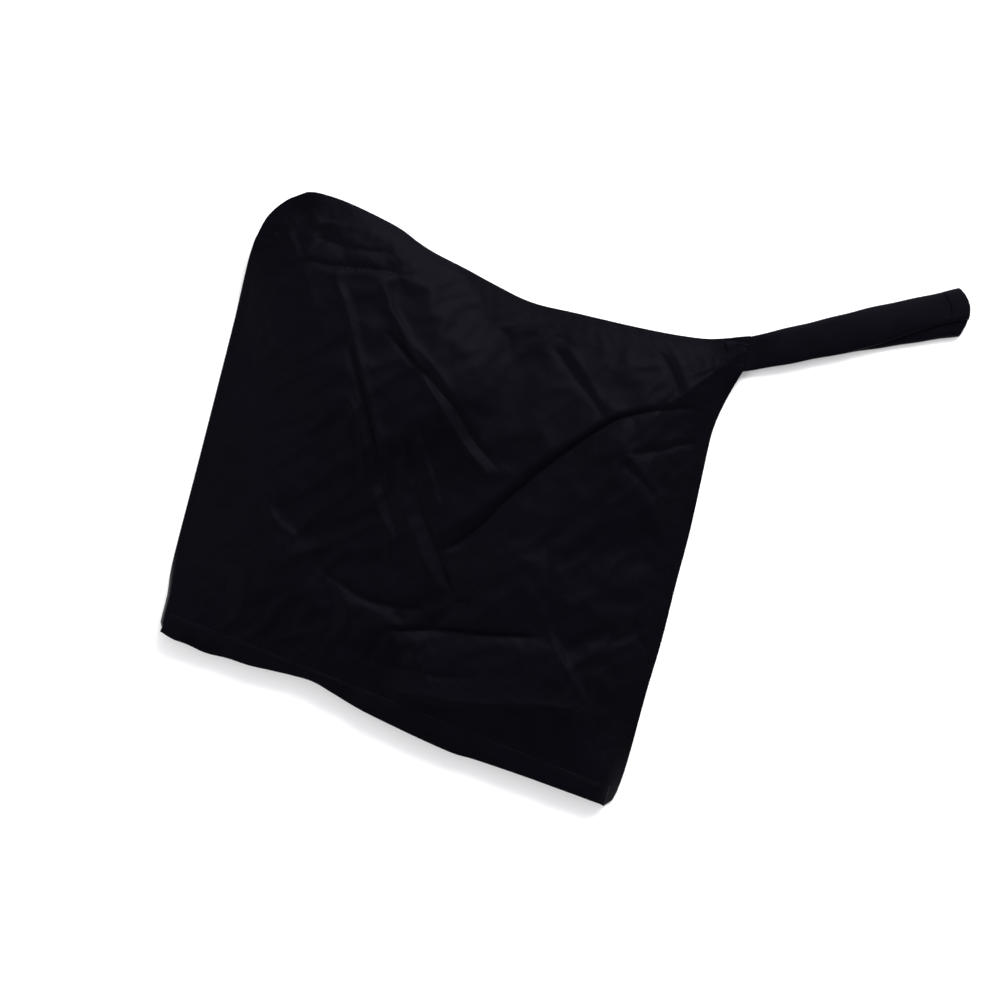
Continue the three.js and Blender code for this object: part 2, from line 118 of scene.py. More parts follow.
def nearest(x, y, line):
    """Signed distance from each point to a line, positive on its left, and the share of the
    line's length at the nearest place."""
    line = np.asarray(line, float)
    steps = np.linalg.norm(np.diff(line, axis=0), axis=1)
    starts = np.concatenate([[0], np.cumsum(steps)])
    best = np.full(x.shape, 1e9)
    side = np.zeros(x.shape)
    share = np.zeros(x.shape)
    for i, (a, b) in enumerate(zip(line, line[1:])):
        d = b - a
        t = np.clip(((x - a[0]) * d[0] + (y - a[1]) * d[1]) / (steps[i] ** 2 + 1e-12), 0, 1)
        gap = np.hypot(x - a[0] - t * d[0], y - a[1] - t * d[1])
        closer = gap < best
        best = np.where(closer, gap, best)
        turned = d[0] * (y - a[1]) - d[1] * (x - a[0])
        side = np.where(closer, np.sign(turned), side)
        share = np.where(closer, (starts[i] + t * steps[i]) / starts[-1], share)
    return best * np.where(side == 0, 1, side), share


def ripple(x, y, size, seed):
    """Smooth uneven rise and fall between about -1 and 1, with bumps about size across."""
    flat = [
        noise.noise(Vector((a / size, b / size, seed * 7.31)))
        for a, b in zip(np.ravel(x), np.ravel(y))
    ]
    return np.array(flat).reshape(np.shape(x)) * 1.6


# ------------------------------------------------------------------ sizes and colours


def length_of(name, description, default, least):
    return bpy.props.FloatProperty(name=name, description=description, default=default,
                                   min=least, unit="LENGTH", subtype="DISTANCE")


def colour_of(name, description, *default):
    return bpy.props.FloatVectorProperty(name=name, description=description, default=default,
                                         min=0, max=1, subtype="COLOR")


class BagSizes(bpy.types.PropertyGroup):
    """Sizes of the cloth, the zips and the stitching."""

    cloth: length_of("Cloth thickness", "Thickness of the outer cloth", 0.0005, 0.0002)
    lining: length_of("Lining thickness", "Thickness of the lining cloth", 0.00035, 0.0001)
    across: bpy.props.IntProperty(
        name="Steps across", description="Mesh steps from side to side of a panel",
        default=285, min=20)
    up: bpy.props.IntProperty(
        name="Steps up", description="Mesh steps from the zips to the sleeves",
        default=265, min=20)
    stitch: length_of("Stitch length", "Length of one stitch on a seam", 0.0026, 0.001)
    stitch_gap: length_of(
        "Stitch spacing", "From the start of one stitch to the next", 0.0034, 0.0015)
    coil_pitch: length_of("Coil pitch", "Distance from one zip tooth to the next", 0.0016, 0.001)


class BagColours(bpy.types.PropertyGroup):
    """Colours of the cloth, the zips and the floor."""

    shell: colour_of("Outer cloth", "Colour of the outer nylon cloth", 0.0010, 0.00088, 0.0018)
    lining: colour_of("Lining", "Colour of the coated lining cloth", 0.0060, 0.0060, 0.0072)
    tape: colour_of("Zip tape", "Colour of the woven zip tape", 0.0055, 0.0055, 0.0062)
    coil: colour_of("Zip coil", "Colour of the nylon zip coil", 0.0100, 0.0100, 0.0110)
    metal: colour_of(
        "Zip metal", "Colour of the enamelled sliders, pulls and stops", 0.0120, 0.0120, 0.0130)
    thread: colour_of("Thread", "Colour of the sewing thread", 0.0018, 0.0016, 0.0026)
    elastic: colour_of("Elastic", "Colour of the braided cuff elastic", 0.0080, 0.0080, 0.0090)
    floor: colour_of("Floor", "Colour of the plain floor", 0.97, 0.97, 0.97)


def sizes():
    return bpy.context.scene.changing_bag_sizes


def colours():
    return bpy.context.scene.changing_bag_colours


# ------------------------------------------------------------------ materials


class Finish:
    """A material's nodes, made one after another."""

    def __init__(self, name):
        self.material = bpy.data.materials.new(name)
        self.material.use_nodes = True
        self.tree = self.material.node_tree
        self.shader = self.tree.nodes["Principled BSDF"]
        self.place = self.make("ShaderNodeTexCoord").outputs["Object"]

    def make(self, kind, values=None, **settings):
        """A node whose inputs each take a number, a colour or another node's output."""
        node = self.tree.nodes.new(kind)
        for key, value in settings.items():
            setattr(node, key, value)
        for key, value in (values or {}).items():
            if isinstance(value, bpy.types.NodeSocket):
                self.join(value, node.inputs[key])
            else:
                node.inputs[key].default_value = value
        return node

    def join(self, start, end):
        self.tree.links.new(start, end)

    def turned(self, degrees, scale=(1, 1, 1)):
        """Object coordinates turned in plan, to lie along a sleeve, and scaled."""
        values = {"Rotation": (0, 0, math.radians(degrees)), "Scale": scale,
                  "Vector": self.place}
        return self.make("ShaderNodeMapping", values, vector_type="TEXTURE").outputs["Vector"]

    def noise(self, vector, scale, detail=3.0, rough=0.55):
        values = {"Scale": scale, "Detail": detail, "Roughness": rough, "Vector": vector}
        return self.make("ShaderNodeTexNoise", values).outputs["Fac"]

    def wave(self, vector, scale, direction):
        values = {"Scale": scale, "Distortion": 0.4, "Detail": 1.0, "Detail Scale": 0.3,
                  "Vector": vector}
        return self.make("ShaderNodeTexWave", values, wave_type="BANDS",
                         bands_direction=direction).outputs["Fac"]

    def math(self, operation, a, b):
        return self.make("ShaderNodeMath", {0: a, 1: b}, operation=operation).outputs[0]

    def spread(self, value, low, high, to_low, to_high):
        values = {"From Min": low, "From Max": high, "To Min": to_low, "To Max": to_high,
                  "Value": value}
        return self.make("ShaderNodeMapRange", values).outputs["Result"]

    def blend(self, value, first, second):
        """A colour between two, by a value from 0 to 1."""
        values = {"A": (*first, 1), "B": (*second, 1), "Factor": value}
        return self.make("ShaderNodeMix", values, data_type="RGBA").outputs["Result"]

    def colour(self, value, first, second):
        self.join(self.blend(value, first, second), self.shader.inputs["Base Color"])

    def rough(self, value, low, high):
        self.join(self.spread(value, 0.3, 0.7, low, high), self.shader.inputs["Roughness"])

    def bump(self, height, strength, distance, under=None):
        values = {"Strength": strength, "Distance": distance, "Height": height}
        if under is not None:
            values["Normal"] = under
        return self.make("ShaderNodeBump", values).outputs["Normal"]

    def set(self, **numbers):
        for key, value in numbers.items():
            self.shader.inputs[key.replace("_", " ")].default_value = value


def tint(colour, factor):
    return tuple(min(1.0, channel * factor) for channel in colour)


def woven(name, colour, turn, thread, gloss, sheen, crumple=1.0):
    """Plain-weave cloth. thread is the width of one thread in metres."""
    made = Finish(name)
    along = made.turned(turn)
    per_metre = math.pi / thread / 10
    warp = made.wave(along, per_metre, "X")
    weft = made.wave(along, per_metre, "Y")
    weave = made.math("MULTIPLY", warp, weft)
    broad = made.noise(along, 9, 4)
    worn = made.noise(along, 46, 5, 0.65)
    slub = made.noise(made.turned(turn, (0.02, 0.0015, 0.02)), 1.0, 2)
    mottle = made.math("ADD", made.math("MULTIPLY", broad, 0.55),
                       made.math("MULTIPLY", worn, 0.45))
    made.colour(made.spread(mottle, 0.34, 0.66, 0, 1), tint(colour, 0.72), tint(colour, 1.4))
    made.rough(made.math("ADD", made.math("MULTIPLY", mottle, 0.8),
                         made.math("MULTIPLY", weave, 0.2)), gloss - 0.07, gloss + 0.1)
    soft = made.bump(broad, 0.35, 0.0016 * crumple)
    fine = made.bump(worn, 0.3, 0.0006 * crumple, soft)
    slubs = made.bump(slub, 0.18, 0.0001, fine)
    made.join(made.bump(weave, 0.5, thread * 0.22, slubs), made.shader.inputs["Normal"])
    made.set(Specular_IOR_Level=0.028, Sheen_Weight=sheen, Sheen_Roughness=0.42)
    made.shader.inputs["Specular Tint"].default_value = (0.80, 0.76, 1.0, 1)
    made.shader.inputs["Sheen Tint"].default_value = (0.62, 0.60, 0.95, 1)
    return made.material


def plain(name, colour, gloss, grain, metallic=0.0, level=0.4):
    """Moulded, enamelled or spun finish with a fine grain and uneven gloss."""
    made = Finish(name)
    fine = made.noise(made.place, grain, 4, 0.6)
    patch = made.noise(made.place, grain / 14, 3)
    made.colour(made.spread(patch, 0.35, 0.65, 0, 1), tint(colour, 0.75), tint(colour, 1.5))
    made.rough(patch, gloss - 0.08, gloss + 0.12)
    made.join(made.bump(fine, 0.25, 0.00006), made.shader.inputs["Normal"])
    made.set(Metallic=metallic, Specular_IOR_Level=level)
    return made.material


FINISHES = {}


def finish(name):
    """The named material, made the first time it is asked for. Cloth has a turn in degrees, a
    thread's width, roughness, sheen and crumple. Other finishes have roughness, the grain's
    scale, and where given how metallic and how glossy they are."""
    c = colours()
    recipes = {
        "shell cloth": (woven, c.shell, 0, 0.00042, 0.48, 0.012),
        "right sleeve cloth": (woven, c.shell, RIGHT["angle"], 0.00042, 0.48, 0.012),
        "left sleeve cloth": (woven, c.shell, LEFT["angle"], 0.00042, 0.48, 0.012),
        "lining cloth": (woven, c.lining, 0, 0.00036, 0.72, 0.03),
        "zip tape": (woven, c.tape, 0, 0.0007, 0.8, 0.06, 0.15),
        "cuff elastic": (woven, c.elastic, 0, 0.0009, 0.8, 0.05, 0.2),
        "zip coil": (plain, c.coil, 0.38, 2600),
        "zip metal": (plain, c.metal, 0.34, 1500, 0.35, 0.5),
        "thread": (plain, c.thread, 0.7, 4200, 0.0, 0.05),
    }
    if name not in FINISHES:
        maker, *values = recipes[name]
        FINISHES[name] = maker(name, *values)
    return FINISHES[name]


# ------------------------------------------------------------------ mesh helpers


def mesh_piece(name, points, faces, material):
    """A new mesh object from points in the row frame, in metres."""
    mesh = bpy.data.meshes.new(name)
    mesh.from_pydata([tuple(p) for p in points], [], [tuple(f) for f in faces])
    mesh.update()
    mesh.shade_smooth()
    piece = bpy.data.objects.new(name, mesh)
    bpy.context.scene.collection.objects.link(piece)
    mesh.materials.append(finish(material))
    return piece


def grid_faces(rows, columns, around=False):
    """Quads over a grid of points stored row by row. around joins the last column to the
    first."""
    i, j = np.meshgrid(np.arange(rows - 1), np.arange(columns if around else columns - 1),
                       indexing="ij")
    right = (j + 1) % columns
    quads = [i * columns + j, i * columns + right,
             (i + 1) * columns + right, (i + 1) * columns + j]
    return np.stack(quads, axis=-1).reshape(-1, 4)


def apply_modifiers(piece):
    bpy.context.view_layer.update()
    made = bpy.data.meshes.new_from_object(
        piece.evaluated_get(bpy.context.evaluated_depsgraph_get()))
    old = piece.data
    piece.modifiers.clear()
    piece.data = made
    bpy.data.meshes.remove(old)


def thicken(piece, thickness, offset=0.0):
    """Turns a single layer into cloth with two faces and a rim."""
    solid = piece.modifiers.new("cloth", "SOLIDIFY")
    solid.thickness = thickness
    solid.offset = offset
    solid.use_even_offset = False
    apply_modifiers(piece)
    piece.data.shade_smooth()


ROD_SIDES = 5


def swept(path, radius):
    """Points and faces of a round rod, closed at both ends, along a path of points."""
    path = np.asarray(path, float)
    tangent = unit(np.gradient(path, axis=0))
    up = np.array([0.0, 0.0, 1.0])
    side = np.cross(tangent, up)
    flat = np.linalg.norm(side, axis=1) < 0.2
    side[flat] = np.cross(tangent[flat], [1.0, 0.0, 0.0])
    side = unit(side)
    other = np.cross(side, tangent)
    angle = np.linspace(0, 2 * math.pi, ROD_SIDES, endpoint=False)
    rings = (path[:, None, :]
             + radius * np.cos(angle)[None, :, None] * side[:, None, :]
             + radius * np.sin(angle)[None, :, None] * other[:, None, :])
    faces = [tuple(f) for f in grid_faces(len(path), ROD_SIDES, around=True)]
    last = (len(path) - 1) * ROD_SIDES
    faces.append(tuple(range(ROD_SIDES))[::-1])
    faces.append(tuple(range(last, last + ROD_SIDES)))
    return rings.reshape(-1, 3), faces


def gather(parts):
    """Several lists of points and faces as one."""
    points, faces, count = [], [], 0
    for some, quads in parts:
        points.append(some)
        faces.extend(tuple(k + count for k in f) for f in quads)
        count += len(some)
    return np.vstack(points), faces


THREAD_RADIUS, THREAD_LIFT = 0.00019, 0.0002  # metres


def stitches(line):
    """Points and faces of a row of stitches along a line of points, in metres. Each dips
    into the cloth at its ends."""
    size, gap = sizes().stitch, sizes().stitch_gap
    parts = []
    for start in np.arange(gap / 2, distances(line)[-1] - size, gap):
        spot = points_at(line, start + size * np.array([0.0, 0.14, 0.5, 0.86, 1.0]))
        spot[:, 2] += THREAD_LIFT * np.array([-1.3, 0.5, 1.0, 0.5, -1.3])
        parts.append(swept(spot, THREAD_RADIUS))
    return gather(parts)


# ------------------------------------------------------------------ the bag's form

LOFT = 23.0
EDGE_RAMP = 96.0
TOP_EASE = 0.72  # the top edge rises more slowly than the sides
WALL = 15.7  # front over back at the outer zip
ZIP_END_RAMPS = (5.0, 20.0)  # left, where the opened pull rests, and right
MOUTH_BLEND = 76.0
LEAST_GAP = 1.7  # middle of the front over the underside, at the seams
ARMHOLE_HEIGHTS = {"left_armhole": (19.2, 17), "right_armhole": (9.2, 20)}  # height, reach
SLEEVE_THICK = 11.0
SLEEVE_LENGTH = 203.0
FULL_LIFT = SLEEVE_THICK + 0.6
SLEEVE_CLEAR = 15.0  # the back stays fully raised this far beyond the folded sleeve
SLEEVE_SLOPE = 46.0  # and comes down to the floor over this distance
RIGHT = {"angle": 32.0, "root": (206.0, 220.0)}
LEFT = {"angle": -34.0, "root": (-224.0, 190.0)}
RIGHT_WIDTHS = (27.6, 40.8)  # folded in three, at the armhole and at the cuff
LEFT_WIDTHS = (48, 88, 80)  # at the armhole, half way along and at the cuff

# The body's edges, from the zips to the sleeves and across the top
LEFT_SEAM = [(-188.8, -203.4), (-192.3, -200.4), (-194, -192), (-197, -170), (-203.5, -140),
             (-215.4, -45), (-228.2, 55), (-237.6, 128), (-239, 155)]
LEFT_ARMHOLE = [(-239, 155), (-236, 178), (-226, 197), (-211, 211.5)]
TOP_SEAM = [(-211, 211.5), (-204, 214), (-185, 216.4), (-160, 216), (-124, 212.8),
            (-104, 207.4), (-85, 203.8), (-55, 201.2), (-25, 197.5), (12, 194.8), (55, 200.9),
            (115, 210), (155, 218), (178, 225), (206.6, 238.8)]
RIGHT_SEAM = [(240, -203.5), (245.4, -195), (245.8, -172), (243.6, -145), (240.5, -118),
              (237.3, -88), (233.5, -45), (226.9, 5), (221, 55), (213, 105), (207.4, 140),
              (206.4, 158), (208.2, 182), (212.3, 209.7)]
MOUTH_EDGE = [(-188.8, -203.4), (-180, -200.5), (-160, -196.5), (-100, -194.8), (-45, -193.4),
              (60, -194.8), (190, -196), (228, -200), (240, -203.5)]

# Folds in the front. Each has its points, how far it stands up (or dips, if below zero), and
# how far it spreads on the left and on the right of its points, looking along them.
FOLDS = [
    # over the left sleeve, which lies folded under the bag
    ([(-160, 150), (-139, 126), (-106, 79), (-88, 55), (-70, 28), (-46, -4)], 3.0, 4.6, 2.4),
    ([(-134, 108), (-106, 70), (-82, 36), (-62, 5), (-42, -20), (-24, -46)], -2.0, 2.2, 2.4),
    ([(-114, 60), (-91, 32), (-71, -4), (-48, -31), (-32, -45), (-21, -71)], 2.3, 3.4, 2.2),
    ([(-100, 40), (-80, 8), (-60, -22), (-42, -44)], -1.4, 2.2, 2.4),
    ([(-60, 42), (-42, 18), (-29, -16), (-2, -48), (20, -68)], 2.2, 3.0, 2.2),
    ([(-52, 39), (-31, 15), (-8, -19), (14, -43), (33, -65), (48, -83)], -3.2, 2.0, 4.0),
    ([(-41, 46), (-24, 24), (-8, 8), (6, -12)], 1.8, 3.0, 2.2),
    ([(-40, 56), (-21, 32), (-4, 10), (4, -8)], -1.7, 2.0, 3.0),
    ([(-40, 84), (-11, 51), (14, 34)], -1.3, 3.0, 3.0),
    ([(-128, 168), (-93, 133), (-60, 102), (-32, 78), (-11, 62), (17, 44), (47, 28)],
     2.7, 4.2, 4.2),
    ([(-104, 124), (-69, 105), (-47, 95), (-17, 80), (12, 59), (46, 42)], -3.0, 2.0, 4.0),
    ([(-118, 150), (-84, 126), (-50, 108), (-20, 90)], 1.2, 3.0, 2.6),
    # the long crease from the middle to the right sleeve
    ([(6, -50), (28, -34), (45, -7), (55, 17), (71, 47), (89, 77), (116, 116), (139, 136),
      (171, 154), (192, 161)], -4.6, 2.4, 11.0),
    ([(20, -26), (38, 6), (62, 50), (84, 84), (112, 122), (140, 144)], 1.2, 8.0, 3.0),
    ([(44, -82), (58, -78), (70, -84)], -1.5, 2.2, 2.6),
    # across the lower part
    ([(-6, -127), (9, -123), (43, -110), (84, -98), (136, -80)], -3.2, 2.0, 8.0),
    ([(18, -178), (67, -168), (102, -158), (143, -142), (200, -128)], 3.4, 26.0, 3.4),
    ([(24, -174), (67, -168), (102, -158), (143, -142), (204, -126)], 5.4, 24.0, 40.0),
    ([(92, -42), (107, -47), (122, -60), (139, -80), (179, -114), (201, -130)], 2.0, 3.6, 14.0),
    ([(98, 6), (109, -11), (121, -34), (128, -52)], -1.3, 2.6, 4.0),
    ([(-78, -98), (-30, -108), (5, -103), (31, -95)], -1.8, 2.6, 6.0),
    ([(-40, -150), (0, -158), (50, -150), (96, -136)], -1.2, 3.0, 6.0),
    ([(-178, -66), (-160, -84), (-138, -92)], -0.7, 3.0, 3.0),
    ([(-146, -58), (-128, -74), (-104, -80)], 0.8, 3.0, 3.0),
    # round the right armhole
    ([(42, 166), (67, 150), (91, 135), (113, 119)], -1.2, 2.4, 3.0),
    ([(54, 171), (79, 153), (105, 131)], 0.9, 3.0, 2.6),
    ([(135, 196), (152, 182), (168, 163)], -1.4, 2.4, 2.6),
    ([(144, 203), (161, 187), (177, 166)], 0.9, 3.0, 3.0),
    ([(140, 97), (168, 113), (198, 134)], -1.7, 2.4, 5.0),
    ([(138, 92), (152, 84), (167, 79), (182, 68)], -1.1, 2.4, 2.6),
    ([(143, 99), (160, 88), (180, 77)], 0.9, 3.0, 3.0),
    ([(206, -36), (214, -52), (232, -62)], -1.2, 3.0, 3.0),
    # round the left armhole
    ([(-192, 176), (-182, 177), (-162, 178), (-139, 182), (-116, 191)], -1.9, 7.0, 6.0),
    ([(-204, 186), (-168, 196), (-131, 199), (-98, 192)], 0.8, 6.0, 5.0),
    ([(-216, 131), (-190, 151), (-162, 158), (-130, 168), (-92, 176)], -1.7, 3.6, 2.6),
    ([(-226, 166), (-210, 178), (-204, 198)], -1.1, 4.0, 4.0),
]
GATHERS = [(-168, 161), (-148, 165), (-124, 174)]  # drawn up on a short stretch of seam
GATHER_PITCH = 4.6
FOLD_SIZE = 0.95  # share of each listed rise
FOLD_FADE = 0.15  # share of a fold's length over which each end dies away
CREASE_RADIUS, CREST_RADIUS = 0.7, 1.2


def left_sleeve_half(s):
    share = np.clip(s / SLEEVE_LENGTH, 0, 1) * 2
    root, middle, cuff = LEFT_WIDTHS
    return np.where(share < 1, mix(root, middle, share), mix(middle, cuff, share - 1)) / 2


def underside(x, y):
    """Height of the bag's underside, which is raised over the folded left sleeve."""
    a = math.radians(LEFT["angle"])
    dx, dy = x - LEFT["root"][0], y - LEFT["root"][1]
    along, beside = dx * math.cos(a) + dy * math.sin(a), dy * math.cos(a) - dx * math.sin(a)
    outside = np.hypot(np.maximum(along - SLEEVE_LENGTH, 0),
                       np.maximum(np.abs(beside) - left_sleeve_half(along), 0))
    return FULL_LIFT * smooth(1 - (outside - SLEEVE_CLEAR) / SLEEVE_SLOPE)


SEAMS = {
    "left": curve(LEFT_SEAM, 44),
    "left_armhole": curve(LEFT_ARMHOLE, 24),
    "top": curve(TOP_SEAM, 60),
    "right": curve(RIGHT_SEAM, 48),
    "right_armhole": np.array([RIGHT_SEAM[-1], TOP_SEAM[-1]], float),
    "mouth": curve(MOUTH_EDGE, 40),
}


def edge_distances(x, y):
    return {name: np.abs(nearest(x, y, line)[0]) for name, line in SEAMS.items()}


def to_seams(gap):
    """Distance to the nearest sewn edge, other than the armholes."""
    return np.minimum(np.minimum(gap["left"], gap["right"]), gap["top"])


def front_height(x, y, gap):
    """Height of the middle of the front cloth, before its folds."""
    to_edge = np.minimum(np.minimum(gap["left"], gap["right"]), gap["top"] * TOP_EASE)
    lift = underside(x, y)
    at_zip = WALL * np.minimum(ramp(gap["left"] / ZIP_END_RAMPS[0]),
                               ramp(gap["right"] / ZIP_END_RAMPS[1]))
    over_body = LOFT * ramp(to_edge / EDGE_RAMP) * (1 - 0.3 * lift / FULL_LIFT)
    away = smooth((y + 194.5) / MOUTH_BLEND)
    height = lift + LEAST_GAP + mix(at_zip, over_body, away)
    # the cloth lies on the sleeves where it is sewn to them
    for name, (top, reach) in ARMHOLE_HEIGHTS.items():
        height = mix(height, top, np.exp(-((gap[name] / reach) ** 2)))
    return height - np.exp(-gap["right_armhole"] / 2)


def fold_height(x, y, gap):
    """The folds and creases of the front cloth. They fade out at the seams."""
    total = np.zeros(x.shape)
    for points, rise, left, right in FOLDS:
        line = curve(points, 5 * len(points))
        reach = 5 * max(left, right)
        low, high = line.min(axis=0) - reach, line.max(axis=0) + reach
        near = (x > low[0]) & (x < high[0]) & (y > low[1]) & (y < high[1])
        if not near.any():
            continue
        off, share = nearest(x[near], y[near], line)
        fade = smooth(share / FOLD_FADE) * smooth((1 - share) / FOLD_FADE)
        soft = CREASE_RADIUS if rise < 0 else CREST_RADIUS
        spread = np.where(off > 0, left, right)
        profile = np.exp(-(np.hypot(off, soft) - soft) / spread)
        total[near] += FOLD_SIZE * rise * fade * profile
    off, share = nearest(x, y, curve(GATHERS, 12))
    length = distances(GATHERS)[-1]
    beat = np.sin(2 * math.pi * share * length / GATHER_PITCH) * smooth(4 * share * (1 - share))
    total += 0.95 * beat * np.exp(-((off / 4.0) ** 2))
    return total * smooth(to_seams(gap) / 22) * smooth((y + 194) / 30)


def seam_pucker(x, y, gap):
    """Short ripples square to each seam, where the sewing draws the cloth up."""
    total = np.zeros(x.shape)
    side = 400  # about the length of a side
    for name, reach, size in (("left", 6.0, 0.40), ("right", 6.0, 0.42), ("top", 6.5, 0.34)):
        share = nearest(x, y, SEAMS[name])[1]
        beat = np.sin(share * side / 2.1 + 2.2 * np.sin(share * 31)) * 0.6
        beat = beat + np.sin(share * side / 4.7 + 1.3 + 2.6 * np.sin(share * 17)) * 0.4
        drawn = 0.35 + 0.65 * smooth(0.5 + 0.8 * ripple(share * side, share * 60, 38, 9))
        total += size * beat * drawn * np.exp(-gap[name] / reach) * smooth(gap[name] / 3.0)
    for name, reach, size, beats in (("left_armhole", 15.0, 0.26, 46),
                                     ("right_armhole", 14.0, 0.26, 30)):
        share = nearest(x, y, SEAMS[name])[1]
        uneven = 0.5 + 0.5 * np.sin(share * beats * 0.31 + 0.8)
        beat = np.sin(share * beats + 1.9 * np.sin(share * 9))
        total += size * uneven * beat * np.exp(-gap[name] / reach)
    return total


def crumple(x, y, gap):
    """Gentle unevenness of soft cloth that has been folded away and spread out again."""
    inside = smooth(to_seams(gap) / 30)
    calm = 1 - 0.75 * smooth((-y - 96) / 40) * smooth((x - 20) / 60)
    broad = ripple(x, y, 92, 1) * 1.5 + ripple(x + y * 0.4, y, 46, 2) * 0.8
    crease = 1 - np.abs(ripple(x - 0.5 * y, y * 0.55, 24, 3)) * 2
    small = ripple(x, y, 13, 4) * 0.16
    return inside * calm * (broad + 0.42 * np.clip(crease, -0.4, 1) + small)


def plan_grid(across, up, ends_across=(0, 1), ends_up=(0, 1)):
    """Points of the body's plan over a grid, blended from its four edges."""
    left = np.vstack([SEAMS["left"], SEAMS["left_armhole"][1:13]])
    top = np.vstack([SEAMS["left_armhole"][12:], SEAMS["top"][1:]])
    right = np.vstack([SEAMS["right"], SEAMS["right_armhole"][1:]])
    crowd = [mix(t, smooth(t), 0.55) for t in
             (np.linspace(*ends_across, across + 1), np.linspace(*ends_up, up + 1))]

    def along(line, t):
        return points_at(line, t * distances(line)[-1])

    u, v = crowd[0][None, :, None], crowd[1][:, None, None]
    bottom, upper = along(SEAMS["mouth"], crowd[0])[None], along(top, crowd[0])[None]
    near, far = along(left, crowd[1])[:, None], along(right, crowd[1])[:, None]
    corners = ((1 - u) * (1 - v) * left[0] + u * (1 - v) * right[0]
               + (1 - u) * v * left[-1] + u * v * right[-1])
    plan = (1 - v) * bottom + v * upper + (1 - u) * near + u * far - corners
    return plan[..., 0], plan[..., 1]


def widened(grid, rows, columns):
    """A coarse grid of numbers read at more rows and columns, on a smooth curve."""
    def weights(coarse, fine):
        at = np.linspace(0, coarse - 1, fine)
        first = np.clip(at.astype(int), 0, coarse - 2)
        t = at - first
        table = np.zeros((fine, coarse))
        rows_at = np.arange(fine)
        for step, w in ((-1, (1 - t) ** 3), (0, 3 * t**3 - 6 * t**2 + 4),
                        (1, -3 * t**3 + 3 * t**2 + 3 * t + 1), (2, t**3)):
            np.add.at(table, (rows_at, np.clip(first + step, 0, coarse - 1)), w / 6)
        return table

    return weights(grid.shape[0], rows) @ grid @ weights(grid.shape[1], columns).T


SIM_ACROSS = 100
SIM_UP = 94
SIM_FRAMES = 16
SIM_MOST = 4.5  # furthest that a point may move, in millimetres
SIM_FULLNESS = 0.014  # how much bigger the cloth is than its space


def settled():
    """How far each point of the front moves as the cloth finds room for its own fullness. The
    cloth is a little bigger than the space between its seams, so it wrinkles where it is free
    and stays where the seams and the zips hold it. Returns moves along X, Y and Z over a
    coarse grid, in millimetres."""
    x, y = plan_grid(SIM_ACROSS, SIM_UP)
    gap = edge_distances(x, y)
    z = front_surface(x, y)
    start = row(np.stack([x, y, z], axis=-1).reshape(-1, 3))
    mesh = bpy.data.meshes.new("front to settle")
    mesh.from_pydata(start.tolist(), [], grid_faces(*x.shape).tolist())
    cloth = bpy.data.objects.new("front to settle", mesh)
    bpy.context.scene.collection.objects.link(cloth)

    to_held = np.minimum(np.minimum(to_seams(gap), gap["mouth"] - 18),
                         np.minimum(gap["left_armhole"] - 8, gap["right_armhole"] - 6))
    calm = smooth((-y - 110) / 30) * smooth((x - 40) / 50) + smooth((-x - 110) / 60) * 0.5
    hold = np.maximum(1 - smooth(to_held / 40), 0.06 + 0.3 * calm).ravel()
    group = cloth.vertex_groups.new(name="held")
    for k, weight in enumerate(hold):
        group.add([k], float(weight), "REPLACE")
    drape = cloth.modifiers.new("settle", "CLOTH")
    made = drape.settings
    made.quality = 5
    made.mass = 0.12
    made.tension_stiffness = made.compression_stiffness = 9
    made.shear_stiffness = 3
    made.bending_stiffness = 0.25
    made.tension_damping = made.compression_damping = made.shear_damping = 8
    made.air_damping = 3
    made.shrink_min = made.shrink_max = -SIM_FULLNESS
    made.vertex_group_mass = "held"
    made.pin_stiffness = 0.6
    made.effector_weights.gravity = 0.0
    drape.collision_settings.use_collision = False
    drape.point_cache.frame_start, drape.point_cache.frame_end = 1, SIM_FRAMES
    scene = bpy.context.scene
    for number in range(1, SIM_FRAMES + 1):
        scene.frame_set(number)
    settled_mesh = cloth.evaluated_get(bpy.context.evaluated_depsgraph_get()).to_mesh()
    end = np.empty(len(start) * 3)
    settled_mesh.vertices.foreach_get("co", end)
    scene.frame_set(1)
    bpy.data.objects.remove(cloth)
    bpy.data.meshes.remove(mesh)
    move = (end.reshape(-1, 3) - start) / MM
    length = np.linalg.norm(move, axis=1)[:, None] + 1e-9
    move *= np.minimum(1, SIM_MOST * np.tanh(length / SIM_MOST) / length)
    return [move[:, k].reshape(x.shape) for k in range(3)]


def panel(name, x, y, z, material, thickness, turned=False):
    points = row(np.stack([x, y, z], axis=-1).reshape(-1, 3))
    faces = grid_faces(*x.shape)
    piece = mesh_piece(name, points, faces[:, ::-1] if turned else faces, material)
    thicken(piece, thickness)
    return piece


# ------------------------------------------------------------------ pieces


BACK_REST = 0.55  # middle of the back cloth over the underside
LINING_REST, LINING_GAP = 1.9, 0.7  # back lining over the underside, and front lining over it
LINING_DEPTHS = (3.1, 4.8)  # front lining under the front cloth, over the zip and elsewhere


def front_surface(x, y):
    gap = edge_distances(x, y)
    form = front_height(x, y, gap)
    detail = fold_height(x, y, gap) + seam_pucker(x, y, gap) + crumple(x, y, gap)
    return form + detail


